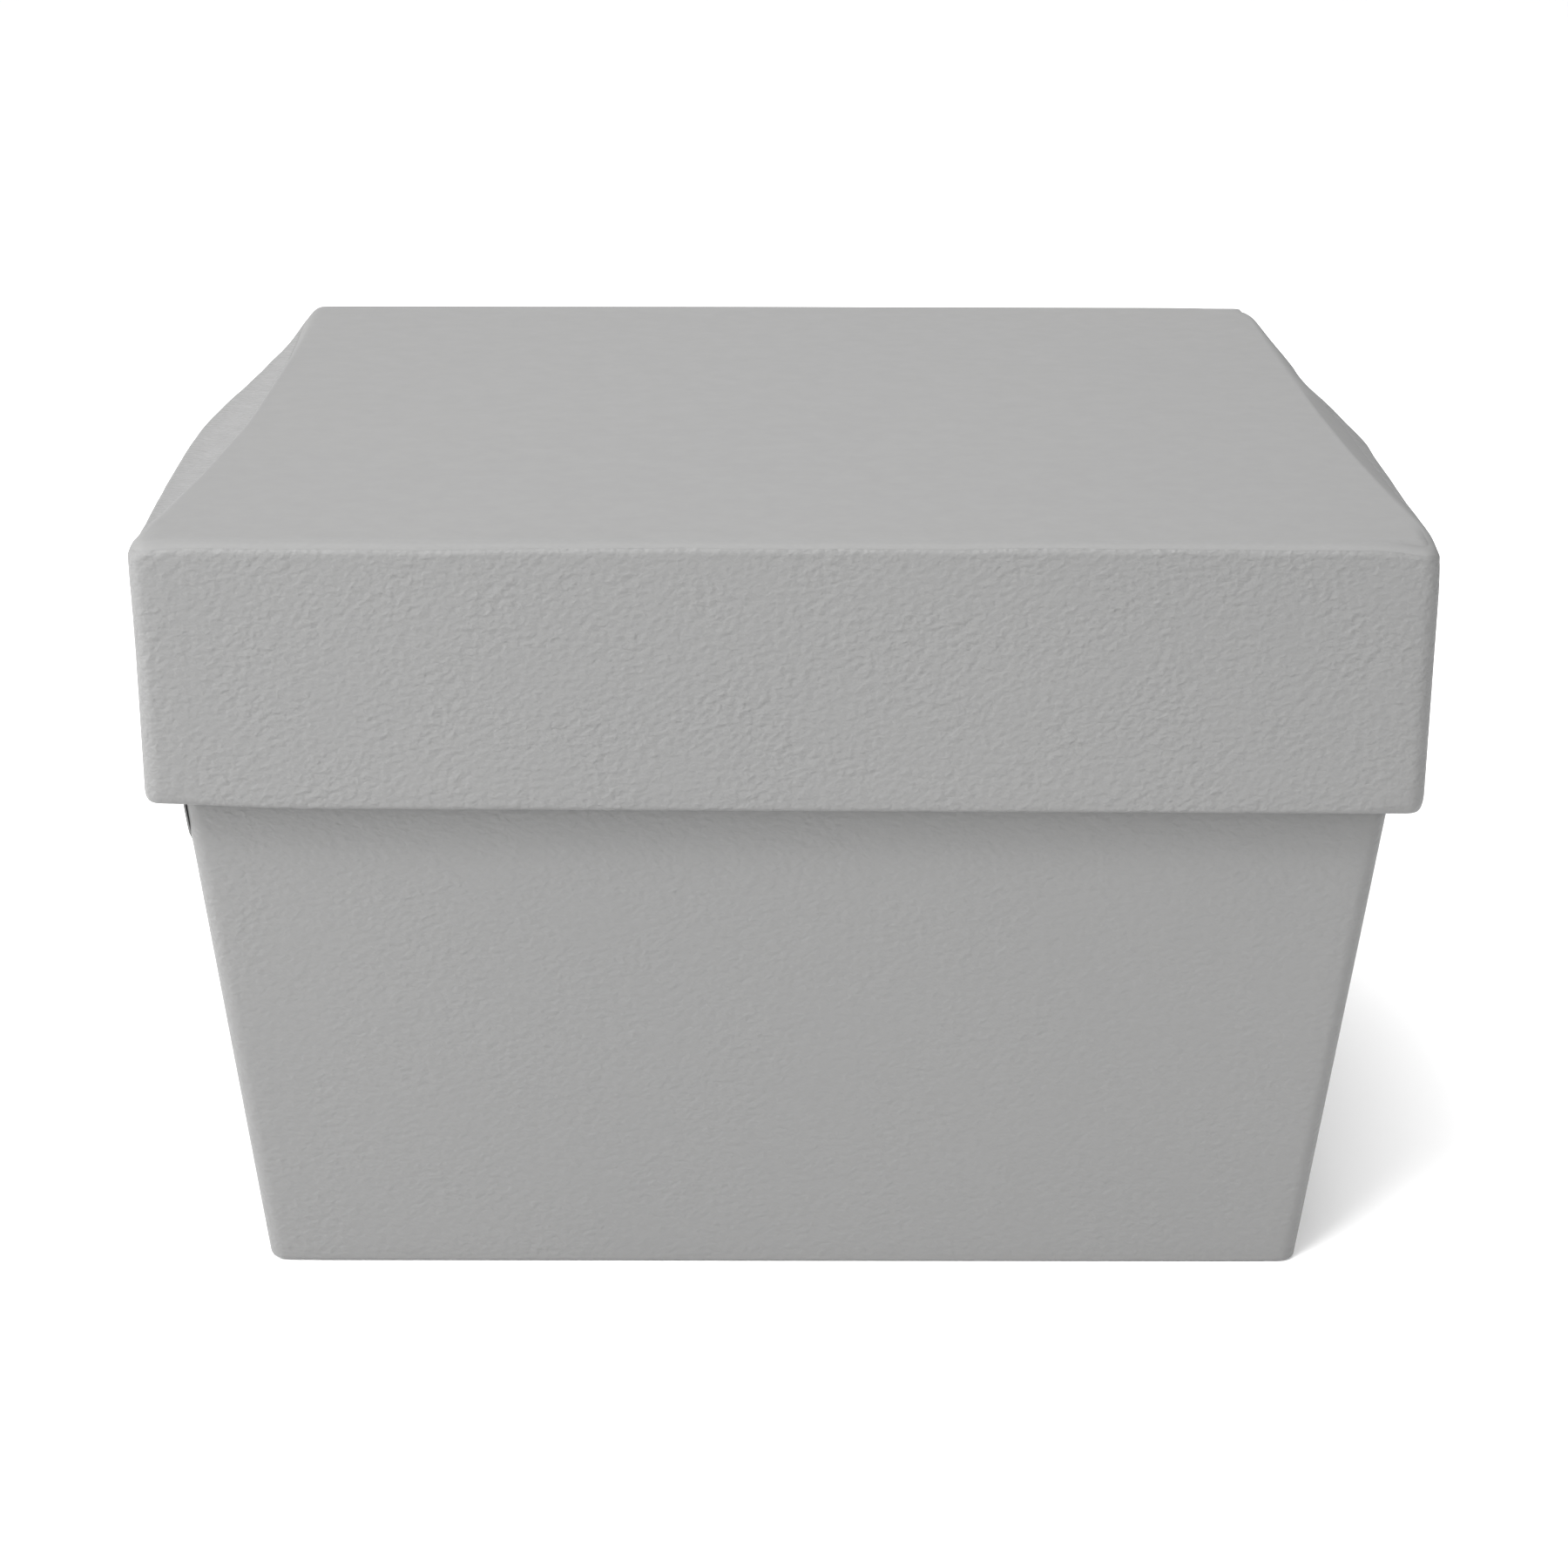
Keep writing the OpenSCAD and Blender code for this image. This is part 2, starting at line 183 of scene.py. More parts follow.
def lid_profile(st):
    """Outline of the lid's outer face at a station, from the flat top down to just above its lower edge: (inset, depth) pairs."""
    k, t = st
    r = min(top_radius(st), R - 0.6)
    base = []
    for i in range(N_ROUND + 1):
        a = math.radians(90.0 * i / N_ROUND)
        base.append((r * (1 - math.sin(a)), r * (1 - math.cos(a))))
    if k not in ("l", "r"):
        return base + [(0.0, h) for h in SKIRT_H]
    y = t * YS
    if k == "l":
        out, cin, b, drop, wall = smooth_table(OUT_L, y), smooth_table(IN_L, y), smooth_table(FACET_L, y), DROP_L, WALL_L
    else:
        out, cin, b, drop, wall = smooth_table(OUT_R, y), smooth_table(IN_R, y), smooth_table(FACET_R, y), DROP_R, WALL_R
    c = r + cin
    hs = wall + drop
    # a steep wall under the crease, then a shelf that runs out to a rounded shoulder
    f = [
        (c, 0.0), (c - 0.30, 0.05), (c - 0.60, 0.20), (c - 0.85, 0.50), (c - 1.00, 1.0), (c - 1.10, 1.7),
        (c - 1.22, wall * 0.64), (c - 1.5, wall * 0.88), (c - 2.3, wall),
        (0.55 * (c - 2.0) + 0.45 * (-out + 1.6), 0.62 * wall + 0.38 * hs),
        (-out + 1.9, hs), (-out + 0.7, hs + 0.8), (-out, hs + 2.2),
    ]
    if k == "r":
        # on the right the crease is followed by one steep slope, facing away from the light
        w = c + out
        f = [(c - u * w, SLOPE_R * w * u ** 1.12 + e) for u, e in zip(
            (0.0, 0.03, 0.06, 0.10, 0.15, 0.22, 0.31, 0.42, 0.54, 0.68, 0.82, 0.94, 1.0), (0.0,) * 11 + (0.3, 1.6))]
    pts = [((1 - b) * p[0] + b * q[0] - (1 - b) * (0 if i < 3 else 0), (1 - b) * p[1] + b * q[1]) for i, (p, q) in enumerate(zip(base, f))]
    # where the facet fades out the shoulder still follows the swell
    pts = [(x + (1 - b) * (cin * (1 - i / N_ROUND) - out * (i / N_ROUND)), h) for i, (x, h) in enumerate(pts)]
    sk = []
    for h in SKIRT_H:
        share = lerp_table([(5, 1.0), (16, 0.97), (44, 0.6), (70, 0.25), (72, 0.25)], h)
        sk.append((-out * share, max(h, pts[-1][1] + 0.6 * (1 + SKIRT_H.index(h)))))
    return pts + sk


def lid_sag(x, y):
    """The lid's top isn't quite flat."""
    u, v = x / A, y / B
    e = max(0.0, 1 - u * u) * max(0.0, 1 - v * v)
    return -0.35 * e + 0.10 * math.sin(3.1 * u + 0.7) * math.cos(2.3 * v - 0.4) * e


CORNER_DROP = {(-1, -1): 1.0, (1, -1): 2.0, (1, 1): 1.5, (-1, 1): 0.3}


def lid_xyz(st, inset, h):
    """Point of the lid. Its four top corners are pressed down and in a little."""
    x, y = place(st, A, B, R, inset)
    sx, sy = (1 if x > 0 else -1), (1 if y > 0 else -1)
    near = max(0.0, A - abs(x)) + max(0.0, B - abs(y))
    w = CORNER_DROP[(sx, sy)] * math.exp(-((near / (9.0 if sx < 0 else 13.0)) ** 2)) * math.exp(-((h / 7.0) ** 2))
    # the front left corner swells a little under its top
    puff = 0.6 * math.exp(-((h / 16.0) ** 2)) * sstep(0.5, 4.0, h) * math.exp(-((max(0.0, y + B) / 28.0) ** 2)) if x < R - A else 0.0
    return Vector((x - 0.25 * sx * w - puff, y - 0.25 * sy * w, H - h - w))


def corner_share(st, reach=30.0):
    """1 at the upright edges, 0 away from them along each face."""
    k, t = st
    if k in ("fl", "fr", "bl", "br"):
        return 1.0
    half = (A - R) if k in ("f", "b") else (B - R)
    dist = half * (1 - abs(t))
    return 1 - sstep(0, reach, dist)


def left_front_share(st, reach=36.0):
    k, t = st
    if k == "fl":
        return 1.0
    if k == "f":
        return 1 - sstep(0, reach, (A - R) * (1 + t))
    if k == "l":
        return 1 - sstep(0, reach, (B - R) * (1 + t))
    return 0.0


# ---------------------------------------------------------------- tray shape, following the frame
def bow(f):
    at = -0.14
    return 1 - ((f - at) / (1 + at if f < at else 1 - at)) ** 2


def tray_set(z):
    z = min(z, Z_TOP)
    if z < Z_KINK:
        return FOOT - TAPER * z
    k = FOOT - TAPER * Z_KINK
    return k + (z - Z_KINK) / (Z_TOP - Z_KINK) * (RIM - k)


def tray_xyz(st, z, d):
    s = tray_set(z)
    x, y = place(st, A - s, B - s, R, d)
    share = lerp_table([(Z_FLOOR, 0), (Z_KINK, 0.25), (Z_TOP, 1)], z)
    if st[0] == "l":
        x += share * 6.3 * max(0.0, bow(st[1]))
    if st[0] == "r":
        x -= share * 4.8 * max(0.0, bow(st[1]))
    x += 0.6 * lerp_table([(Z_FLOOR, 0), (Z_KINK, 1), (Z_TOP, 0.4)], z)
    return Vector((x, y, z))


# ---------------------------------------------------------------- mesh helpers
def mesh_from_rows(name, rows, cyclic=False, cap=False):
    """A quad sheet from rows of points in mm. Row by row down the profile, point by point round the ring."""
    n = len(rows[0])
    verts = [tuple(p * MM) for r in rows for p in r]
    faces = []
    last = n if cyclic else n - 1
    for i in range(len(rows) - 1):
        for j in range(last):
            k = (j + 1) % n
            faces.append((i * n + j, (i + 1) * n + j, (i + 1) * n + k, i * n + k))
    me = bpy.data.meshes.new(name)
    if cap:
        c = Vector((0, 0, 0))
        for p in rows[0]:
            c += p
        c /= n
        c.z = H + lid_sag(0, 0) if cap == "sag" else rows[0][0].z
        verts.append(tuple(c * MM))
        for j in range(n):
            faces.append((len(verts) - 1, j, (j + 1) % n))
    me.from_pydata(verts, [], faces)
    me.polygons.foreach_set("use_smooth", [True] * len(me.polygons))
    me.validate()
    me.update()
    ob = bpy.data.objects.new(name, me)
    bpy.context.scene.collection.objects.link(ob)
    return ob


def thicken(ob, t, rim=True):
    m = ob.modifiers.new("thickness", "SOLIDIFY")
    m.thickness = t * MM
    m.offset = -1.0
    m.use_rim = rim
    m.use_even_offset = False
    m.use_quality_normals = True
    bpy.context.view_layer.objects.active = ob
    dg = bpy.context.evaluated_depsgraph_get()
    me = bpy.data.meshes.new_from_object(ob.evaluated_get(dg))
    ob.modifiers.clear()
    old = ob.data
    ob.data = me
    bpy.data.meshes.remove(old)
    ob.data.polygons.foreach_set("use_smooth", [True] * len(ob.data.polygons))
    ob.data.set_sharp_from_angle(angle=math.radians(60))
    return ob


def shift_in(rows, d, cyclic):
    """The same net of points moved inward by d along its own normals."""
    nr, nc = len(rows), len(rows[0])
    out = []
    for i in range(nr):
        row = []
        for j in range(nc):
            a = rows[min(i + 1, nr - 1)][j] - rows[max(i - 1, 0)][j]
            if cyclic:
                b = rows[i][(j + 1) % nc] - rows[i][(j - 1) % nc]
            else:
                b = rows[i][min(j + 1, nc - 1)] - rows[i][max(j - 1, 0)]
            n = a.cross(b)
            n.normalize()
            row.append(rows[i][j] - n * d)
        out.append(row)
    return out


def polyline_cut(pts, s):
    """Point and unit tangent at arc length s along a polyline of (inset, depth) pairs."""
    acc = 0.0
    for (x0, y0), (x1, y1) in zip(pts, pts[1:]):
        l = math.hypot(x1 - x0, y1 - y0)
        if acc + l >= s and l > 1e-9:
            k = (s - acc) / l
            return (x0 + (x1 - x0) * k, y0 + (y1 - y0) * k), ((x1 - x0) / l, (y1 - y0) / l)
        acc += l
    (x0, y0), (x1, y1) = pts[-2], pts[-1]
    l = math.hypot(x1 - x0, y1 - y0) or 1.0
    return pts[-1], ((x1 - x0) / l, (y1 - y0) / l)


def arc_len(pts, i):
    return sum(math.hypot(b[0] - a[0], b[1] - a[1]) for a, b in zip(pts[:i], pts[1 : i + 1]))


def seam_strength(st):
    """The seam under the lid's top edge is clear along the front and back, and closes up at the left corner."""
    k, t = st
    if k == "f":
        return sstep(-1.0, -0.86, t) * (1.0 - 0.35 * math.exp(-(((t - 0.02) / 0.10) ** 2)))
    if k == "b":
        return 0.9
    if k in ("fl", "bl"):
        return 0.12
    if k in ("fr", "br"):
        return 0.9
    return 0.5 if k == "l" else 0.15


def inward(tan):
    # tangent runs (inset, depth) down the profile: inward is to its left
    return (abs(tan[1]), abs(tan[0]))


DIP, BEAD = 0.14, 0.07


def seam_wave(st):
    """Small wander of the seam along the front, in mm of arc."""
    k, t = st
    if k != "f":
        return 0.0
    return 0.16 * math.sin(9.0 * t + 0.6) + 0.10 * math.sin(23.0 * t + 2.0) + 0.06 * math.sin(51.0 * t)


def dip(s, g):
    """The paper's edge turns in at the seam, with a slight bead beside it."""
    return g * (DIP * math.exp(-((s / 0.62) ** 2)) - BEAD * math.exp(-(((s - 1.5) / 0.7) ** 2)))


GAP = 0.008
AWAY = (2.2, 1.7, 1.3, 1.05, 0.85, 0.68, 0.52, 0.38, 0.26, 0.16, 0.08, 0.0)


def top_edge_path(st):
    """From the flat top round the edge to the seam, with its lip."""
    p = lid_profile(st)
    s0 = arc_len(p, SEAM) + seam_wave(st) - GAP
    g = seam_strength(st)
    out = []
    for s in [u * (s0 - 2.5) for u in (0.0, 0.07, 0.15, 0.24, 0.34, 0.45, 0.6, 0.8, 1.0)] + [s0 - a for a in AWAY]:
        (x, h), tan = polyline_cut(p, max(s, 0.0))
        n = inward(tan)
        k = dip(s0 - s, g)
        out.append((x + n[0] * k, h + n[1] * k))
    (x, h), tan = polyline_cut(p, s0)
    n = inward(tan)
    k = DIP * g + 0.12
    out.append((x + n[0] * k, h + n[1] * k))
    return out


def side_share(st):
    """-1 on the left, 1 on the right."""
    k, t = st
    return t if k in ("f", "b") else (-1.0 if k in ("fl", "l", "bl") else 1.0)


def skirt_tilt(st):
    """The skirt is cut a hair deeper towards the right."""
    k, t = st
    if k in ("f", "b"):
        return 0.5 * t
    return -0.5 if k in ("fl", "l", "bl") else 0.5


def skirt_path(st):
    """From the seam down the skirt, round its lower edge and up inside as a turn-in."""
    p = lid_profile(st)
    s0 = arc_len(p, SEAM) + seam_wave(st) + GAP
    g = seam_strength(st)
    (x, h), tan = polyline_cut(p, s0)
    n = inward(tan)
    k = DIP * g + 0.12
    out = [(x + n[0] * k, h + n[1] * k)]
    rest = []
    for i in range(SEAM + 1, N_ROUND + 1):
        rest.append(max(arc_len(p, i), (rest[-1] if rest else s0 + 2.2) + 0.12))
    for s in [s0 + a for a in AWAY[::-1]] + rest:
        (x, h), tan = polyline_cut(p, s)
        n = inward(tan)
        k = dip(s - s0, g)
        out.append((x + n[0] * k, h + n[1] * k))
    out += [(x, h) for x, h in p[N_ROUND + 1 :]]
    cs = corner_share(st, 9.0) if st[0] not in ("f", "b") else corner_share(st, 14.0)
    rv = 1.5 + (1.7 if side_share(st) < 0 else 3.2) * cs
    hb = SKIRT - 1.1 * left_front_share(st) + skirt_tilt(st)
    xb = p[-1][0]
    half = D_TURN / 2
    for i in range(0, 7):
        a = math.radians(90.0 * i / 6)
        out.append((xb + half * (1 - math.cos(a)), hb - rv + rv * math.sin(a)))
    for i in range(1, 5):
        a = math.radians(90.0 * i / 4)
        out.append((xb + half + half * math.sin(a), hb - 1.2 + 1.2 * math.cos(a)))
    for q in (5.0, 10.0, 14.0):
        out.append((xb + 2 * half, hb - 1.2 - q))
    return out


def rows_from_paths(path_fn, sts, to_xyz):
    cols = [[to_xyz(st, *q) for q in path_fn(st)] for st in sts]
    return [[c[i] for c in cols] for i in range(len(cols[0]))]


# ---------------------------------------------------------------- lid pieces
top_cols = rows_from_paths(top_edge_path, ST, lid_xyz)
first = top_cols[0]
inner_rows = []
for s in (0.04, 0.12, 0.22, 0.32, 0.42, 0.52, 0.62, 0.71, 0.79, 0.86, 0.91, 0.945, 0.968, 0.984, 0.995):
    row = []
    for p in first:
        x, y = p.x * s, p.y * s
        row.append(Vector((x, y, H + lid_sag(x, y))))
    inner_rows.append(row)
top_rows = inner_rows + top_cols
lid_top = mesh_from_rows("lid_top_cover_sheet", top_rows, cyclic=True, cap="sag")
thicken(lid_top, COVER)

skirt_rows = rows_from_paths(skirt_path, ST, lid_xyz)
lid_skirt = mesh_from_rows("lid_skirt_cover_sheet", skirt_rows, cyclic=True)
thicken(lid_skirt, COVER)

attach(lid_top, "lid"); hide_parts("lid_top_cover")
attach(lid_skirt, "lid"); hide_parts("lid_skirt_cover")


def board_path(st):
    """Outer face of a lid wall board: the skirt without its lip and lower roll."""
    p = lid_profile(st)
    return p[SEAM + 1 :] + [(p[-1][0], SKIRT - 5.6)]


def stay_path(st):
    p = lid_profile(st)
    return p[SEAM + 4 :] + [(p[-1][0], SKIRT - 5.6)]


def keep_clear(ob):
    """Inside the side walls the board is pressed thin, so that it clears the tray's bowed rim."""
    for v in ob.data.vertices:
        x, y, z = v.co.x / MM, v.co.y / MM, v.co.z / MM
        if z > Z_TOP + 1.2 or abs(y) > B - R - 2:
            continue
        lim = tray_xyz(("l" if x < 0 else "r", y / (B - tray_set(z) - R)), min(z, Z_TOP), 0.0).x
        lim = lim - 0.2 if x < 0 else lim + 0.2
        if abs(x) > 120 and abs(x) < abs(lim):
            v.co.x = lim * MM


def lid_wall_piece(name, idx, node, depth, t, path=board_path):
    rows = rows_from_paths(path, [ST[i % NS] for i in idx], lid_xyz)
    rows = shift_in(rows, depth, False)
    ob = mesh_from_rows(name, rows)
    thicken(ob, t)
    keep_clear(ob)
    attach(ob, "lid"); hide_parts(node)
    return ob


half = N_ARC // 2
lid_boards = [
    lid_wall_piece("lid_left_board_bowed", range(I_BL + half, NS + half + 1), "lid_left_board", D_BOARD, BOARD),
    lid_wall_piece("lid_right_board_bowed", range(I_FR + half, I_BR + half + 1), "lid_right_board", D_BOARD, BOARD),
    lid_wall_piece("lid_front_board_set", range(I_FL + half, I_FR + half + 1), "lid_front_board", D_BOARD, BOARD),
    lid_wall_piece("lid_back_board_set", range(I_BR + half, I_BL + half + 1), "lid_back_board", D_BOARD, BOARD),
]
lid_stays = [
    lid_wall_piece("lid_stay_" + n, range(i - 8, i + N_ARC + 5), "lid_corner_stays", COVER + 0.05, STAY - 0.06, stay_path)
    for n, i in (("fl", I_FL), ("fr", I_FR), ("br", I_BR), ("bl", I_BL))
]
board_rows = shift_in(top_rows[:-6], D_BOARD, True)
lid_board_top = mesh_from_rows("lid_top_board_bowed", board_rows, cyclic=True, cap=True)
thicken(lid_board_top, BOARD)
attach(lid_board_top, "lid"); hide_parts("lid_top_board")
lid_boards.append(lid_board_top)


def lining_path(st):
    p = lid_profile(st)
    xb = p[-1][0]
    return p[SEAM + 2 :][:-3] + [(xb * 1.15, SKIRT - 15.6)]


rows = shift_in(rows_from_paths(lining_path, ST, lid_xyz), D_INNER + 0.05, True)
skirt_lining = mesh_from_rows("lid_skirt_lining_sheet", rows, cyclic=True)
thicken(skirt_lining, LINING)
keep_clear(skirt_lining)
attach(skirt_lining, "lid"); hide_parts("lid_skirt_lining")


lining_rows = shift_in(top_rows[:-12], D_INNER + 0.02, True)
lid_lining_top = mesh_from_rows("lid_top_lining_sheet", lining_rows, cyclic=True, cap=True)
thicken(lid_lining_top, LINING - 0.02)
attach(lid_lining_top, "lid"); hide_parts("lid_top_lining")


# ---------------------------------------------------------------- tray pieces
Z_LIST = [6.0, 9.0, 14.0, 22.0, 34.0, 48.0, 64.0, 80.0, 96.0, 108.0, 117.0, 123.0, 127.0, 130.0, 132.5, 135.0, 137.5, 140.2, 142.7, Z_KINK,
          150.0, 157.0, 166.0, 176.0, 186.0, 196.0, Z_TOP]


def tray_path(st):
    cs = corner_share(st, 12.0)
    rb = 1.15 - 0.3 * side_share(st) + 0.45 * cs
    out = []
    for q in (16.0, 11.0, 7.0):
        out.append((SHEET, q if st[0] in ("f", "b", "l", "r") else min(q, R - 0.3 - 0.05 * (7.0 - q))))
    for i in range(0, 8):
        a = math.radians(90.0 * i / 7)
        out.append((0.1 + rb * (1 - math.cos(a)), rb * (1 - math.sin(a))))
    out += [(z, 0.0) for z in Z_LIST]
    half = D_TURN / 2
    for i in range(1, 6):
        a = math.radians(90.0 * i / 5)
        out.append((Z_TOP + 0.8 * math.sin(a), half * (1 - math.cos(a))))
    for i in range(1, 6):
        a = math.radians(90.0 * i / 5)
        out.append((Z_TOP + 0.8 * math.cos(a), half * (1 + math.sin(a))))
    for q in (5.0, 10.0, 14.0):
        out.append((Z_TOP - q, D_TURN))
    return out


def tray_piece(name, idx, node, lift=None, gap=0.0):
    idx = list(idx)
    sts = [ST[i % NS] for i in idx]
    cols = []
    for j, st in enumerate(sts):
        if lift is lift_left and j >= len(sts) - 3:
            col = []
            for q in tray_path(st):
                if st[0] == "l":
                    col.append(tray_xyz(st, *q))
                else:
                    col.append(tray_xyz(("fl", 180.0 + lap(st, q)), *q))
        else:
            col = [tray_xyz(st, z, d) for z, d in tray_path(st)]
        if gap:
            if j == 0:
                col = [Vector((p.x, p.y - math.copysign(gap, p.y), p.z)) for p in col]
            if j == len(sts) - 1:
                col = [Vector((p.x, p.y - math.copysign(gap, p.y), p.z)) for p in col]
        if lift:
            col = [lift(p, q, st) for p, q in zip(col, tray_path(st))]
        cols.append(col)
    rows = [[c[i] for c in cols] for i in range(len(cols[0]))]
    # rows run from under the foot up: reversed so that the faces look outward
    ob = mesh_from_rows(name, rows[::-1])
    thicken(ob, COVER)
    for v in ob.data.vertices:
        v.co.z = max(v.co.z, 0.02 * MM)
    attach(ob, "tray"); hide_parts(node)
    return ob


def lift_share(z):
    """Where the glued corner has let go, just under the lid."""
    return sstep(127.0, 132.5, z) * (1 - sstep(150.0, 186.0, z))


def lift_left(p, q, st):
    """The left cover's front edge stands off the corner a little."""
    z, d = q
    if d > 0.5:
        return p
    s = max(0.0, p.y + (B - tray_set(z) - R))
    return Vector((p.x - 0.95 * lift_share(z) * math.exp(-((s / 9.0) ** 2)), p.y, p.z))


def sink_front(p, q, st):
    """The front cover's edge is drawn in under it."""
    z, d = q
    if d > 0.5 or st[0] != "fl":
        return p
    k = 1.0 - sstep(180.0, 248.0, st[1])
    a = sstep(129.8, 138.0, z) * (1 - sstep(150.0, 186.0, z))
    return Vector((p.x + 0.22 * k * a, p.y + 0.12 * k * a, p.z))


def lap(st, q):
    """How far round the corner the left cover's front edge reaches."""
    return 34.0 * lift_share(q[0]) if q[1] < 0.5 else 0.0


tray_front = tray_piece("tray_front_cover_sheet", range(I_FL, I_FR + N_ARC + 1), "tray_front_cover", lift=sink_front)
tray_right = tray_piece("tray_right_cover_sheet", range(I_FR + N_ARC, I_BR + 1), "tray_right_cover", gap=0.12)
tray_back = tray_piece("tray_back_cover_sheet", range(I_BR, I_BL + N_ARC + 1), "tray_back_cover")
tray_left = tray_piece("tray_left_cover_sheet", range(I_BL + N_ARC, NS + 1), "tray_left_cover", lift=lift_left, gap=0.12)


# ---------------------------------------------------------------- materials
def new_mat(name):
    m = bpy.data.materials.new(name)
    m.use_nodes = True
    nt = m.node_tree
    nt.nodes.clear()
    out = nt.nodes.new("ShaderNodeOutputMaterial")
    bsdf = nt.nodes.new("ShaderNodeBsdfPrincipled")
    nt.links.new(bsdf.outputs["BSDF"], out.inputs["Surface"])
    return m, nt, bsdf


def N(nt, kind, **kw):
    n = nt.nodes.new(kind)
    for k, v in kw.items():
        setattr(n, k, v)
    return n


def grain_material(name, tone, grain, tint=(1.0, 1.0, 0.99), rough=0.52, mottle=0.015, spec=0.23, fade=None):
    """Embossed grained paper: fine pebbles over a faint orange peel, patchy in strength."""
    m, nt, bsdf = new_mat(name)
    L = nt.links.new
    tc = N(nt, "ShaderNodeTexCoord")
    obj = tc.outputs["Object"]
    # pebbles, drawn out a little along the rise to the right
    mp = N(nt, "ShaderNodeMapping")
    mp.inputs["Rotation"].default_value = (0.0, math.radians(52.0), 0.0)
    mp.inputs["Scale"].default_value = (0.72, 1.0, 1.0)
    L(obj, mp.inputs["Vector"])
    n1 = N(nt, "ShaderNodeTexNoise")
    n1.inputs["Scale"].default_value = 640.0
    n1.inputs["Detail"].default_value = 1.5
    n1.inputs["Roughness"].default_value = 0.45
    n1.inputs["Distortion"].default_value = 0.25
    L(mp.outputs["Vector"], n1.inputs["Vector"])
    vor = N(nt, "ShaderNodeTexVoronoi", feature="SMOOTH_F1", distance="EUCLIDEAN")
    vor.inputs["Scale"].default_value = 560.0
    vor.inputs["Smoothness"].default_value = 0.8
    L(mp.outputs["Vector"], vor.inputs["Vector"])
    n2 = N(nt, "ShaderNodeTexNoise")
    n2.inputs["Scale"].default_value = 150.0
    n2.inputs["Detail"].default_value = 1.0
    L(obj, n2.inputs["Vector"])
    patch = N(nt, "ShaderNodeTexNoise")
    patch.inputs["Scale"].default_value = 55.0
    patch.inputs["Detail"].default_value = 2.0
    L(obj, patch.inputs["Vector"])
    pr = N(nt, "ShaderNodeMapRange")
    pr.inputs["From Min"].default_value = 0.35
    pr.inputs["From Max"].default_value = 0.65
    pr.inputs["To Min"].default_value = 0.7
    pr.inputs["To Max"].default_value = 1.2
    L(patch.outputs["Fac"], pr.inputs["Value"])
    mix = N(nt, "ShaderNodeMath", operation="MULTIPLY_ADD")
    mix.inputs[1].default_value = -0.30
    L(vor.outputs["Distance"], mix.inputs[0])
    L(n1.outputs["Fac"], mix.inputs[2])
    mix2 = N(nt, "ShaderNodeMath", operation="MULTIPLY_ADD")
    mix2.inputs[1].default_value = 0.2
    L(n2.outputs["Fac"], mix2.inputs[0])
    L(mix.outputs[0], mix2.inputs[2])
    mid = N(nt, "ShaderNodeMath", operation="SUBTRACT")
    mid.inputs[1].default_value = 0.48
    L(mix2.outputs[0], mid.inputs[0])
    hgt = N(nt, "ShaderNodeMath", operation="MULTIPLY")
    L(mid.outputs[0], hgt.inputs[0])
    L(pr.outputs["Result"], hgt.inputs[1])
    last = hgt.outputs[0]
    if fade:
        # the emboss is worn smoother towards the lower right
        sep = N(nt, "ShaderNodeSeparateXYZ")
        L(obj, sep.inputs["Vector"])
        diff = N(nt, "ShaderNodeMath", operation="SUBTRACT")
        L(sep.outputs["Z"], diff.inputs[0])
        L(sep.outputs["X"], diff.inputs[1])
        fr_ = N(nt, "ShaderNodeMapRange")
        fr_.inputs["From Min"].default_value = -0.10
        fr_.inputs["From Max"].default_value = 0.25
        fr_.inputs["To Min"].default_value = fade
        fr_.inputs["To Max"].default_value = 1.0
        L(diff.outputs[0], fr_.inputs["Value"])
        fm_ = N(nt, "ShaderNodeMath", operation="MULTIPLY")
        L(last, fm_.inputs[0])
        L(fr_.outputs["Result"], fm_.inputs[1])
        last = fm_.outputs[0]
    bump = N(nt, "ShaderNodeBump")
    bump.inputs["Strength"].default_value = 1.0
    bump.inputs["Distance"].default_value = grain * MM
    L(last, bump.inputs["Height"])
    L(bump.outputs["Normal"], bsdf.inputs["Normal"])
    # colour: broad mottle plus a trace of the grain
    big = N(nt, "ShaderNodeTexNoise")
    big.inputs["Scale"].default_value = 7.0
    big.inputs["Detail"].default_value = 3.0
    L(obj, big.inputs["Vector"])
    ramp = N(nt, "ShaderNodeValToRGB")
    ramp.color_ramp.elements[0].position = 0.3
    ramp.color_ramp.elements[1].position = 0.7
    lo, hi = tone * (1 - mottle), tone * (1 + mottle)
    ramp.color_ramp.elements[0].color = (lo * tint[0] * 0.998, lo * tint[1], lo * tint[2] * 1.004, 1)
    ramp.color_ramp.elements[1].color = (hi * tint[0], hi * tint[1], hi * tint[2], 1)
    L(big.outputs["Fac"], ramp.inputs["Fac"])
    fine = N(nt, "ShaderNodeMapRange")
    fine.inputs["From Min"].default_value = 0.25
    fine.inputs["From Max"].default_value = 0.75
    fine.inputs["To Min"].default_value = 0.985
    fine.inputs["To Max"].default_value = 1.015
    L(n1.outputs["Fac"], fine.inputs["Value"])
    mul = N(nt, "ShaderNodeVectorMath", operation="SCALE")
    L(ramp.outputs["Color"], mul.inputs[0])
    L(fine.outputs["Result"], mul.inputs["Scale"])
    L(mul.outputs["Vector"], bsdf.inputs["Base Color"])
    rr = N(nt, "ShaderNodeMapRange")
    rr.inputs["To Min"].default_value = rough - 0.06
    rr.inputs["To Max"].default_value = rough + 0.06
    L(n2.outputs["Fac"], rr.inputs["Value"])
    L(rr.outputs["Result"], bsdf.inputs["Roughness"])
    bsdf.inputs["Specular IOR Level"].default_value = spec
    return m


